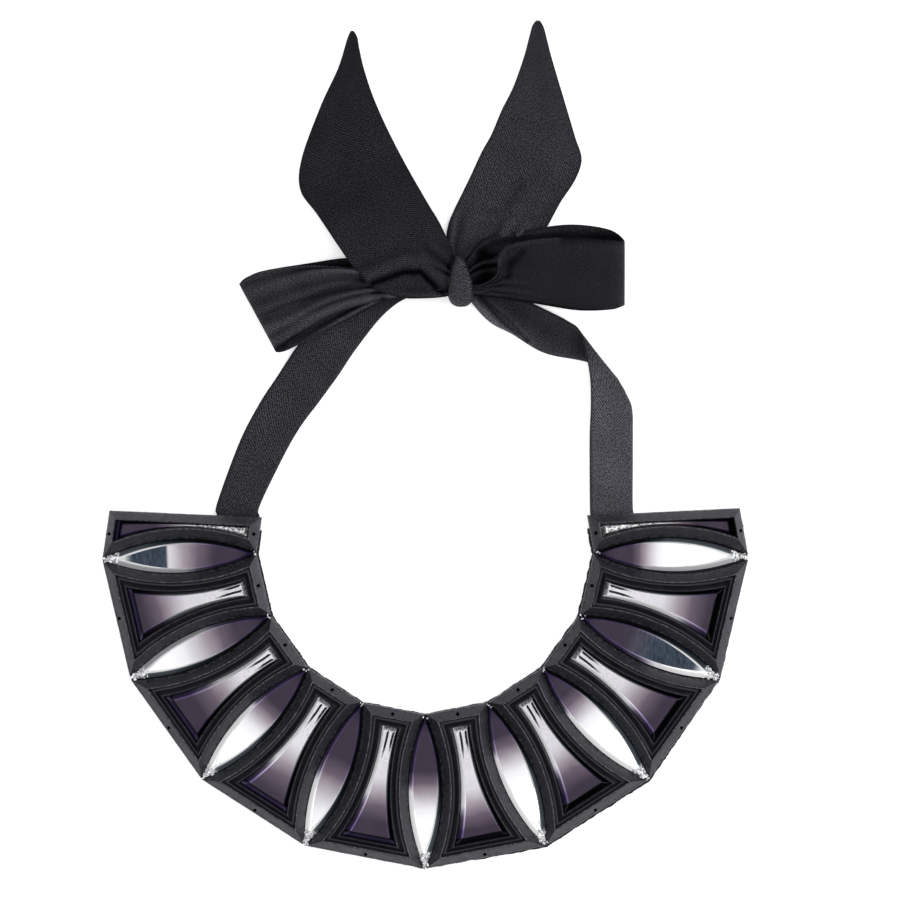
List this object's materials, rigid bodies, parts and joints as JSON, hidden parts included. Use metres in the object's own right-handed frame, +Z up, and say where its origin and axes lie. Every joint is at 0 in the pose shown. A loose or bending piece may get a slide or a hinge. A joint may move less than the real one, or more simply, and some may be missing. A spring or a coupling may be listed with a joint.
{
  "type": "bib necklace",
  "caption": "Bib necklace laid flat: a crescent of black moulded frames and mirrored ombre stones on cloth, with ribbon straps tied in a bow.",
  "frame": {"origin": "middle of the footprint, on the surface that the necklace lies on", "axes": "+Z up, out of the stones' faces; +Y from the bib towards the bow; +X to the right as seen from above"},
  "size_m": [0.2582, 0.3394, 0.012],
  "materials": {
    "frame_resin": "semi-matte moulded black resin",
    "mirror_stone": "foil-backed acrylic, clear silver fading to mauve",
    "ribbon_satin": "black ribbon with a fine diagonal weave",
    "backing_cloth": "rough-cut black felt"
  },
  "bodies": {
    "root": {"backing": "backing_cloth", "frame_01": "frame_resin", "frame_02": "frame_resin", "frame_03": "frame_resin", "frame_04": "frame_resin", "frame_05": "frame_resin", "frame_06": "frame_resin", "frame_07": "frame_resin", "frame_08": "frame_resin", "frame_09": "frame_resin", "frame_10": "frame_resin", "bar_stone_01": "mirror_stone", "bar_stone_02": "mirror_stone", "bar_stone_03": "mirror_stone", "bar_stone_04": "mirror_stone", "bar_stone_05": "mirror_stone", "bar_stone_06": "mirror_stone", "bar_stone_07": "mirror_stone", "bar_stone_08": "mirror_stone", "bar_stone_09": "mirror_stone", "bar_stone_10": "mirror_stone", "marquise_stone_01": "mirror_stone", "marquise_stone_02": "mirror_stone", "marquise_stone_03": "mirror_stone", "marquise_stone_04": "mirror_stone", "marquise_stone_05": "mirror_stone", "marquise_stone_06": "mirror_stone", "marquise_stone_07": "mirror_stone", "marquise_stone_08": "mirror_stone", "marquise_stone_09": "mirror_stone", "ribbon_strap_left": "ribbon_satin", "ribbon_strap_right": "ribbon_satin", "bow_knot": "ribbon_satin", "bow_loop_left": "ribbon_satin", "bow_loop_right": "ribbon_satin", "ribbon_tail_left": "ribbon_satin", "ribbon_tail_right": "ribbon_satin"}
  },
  "joints": []
}
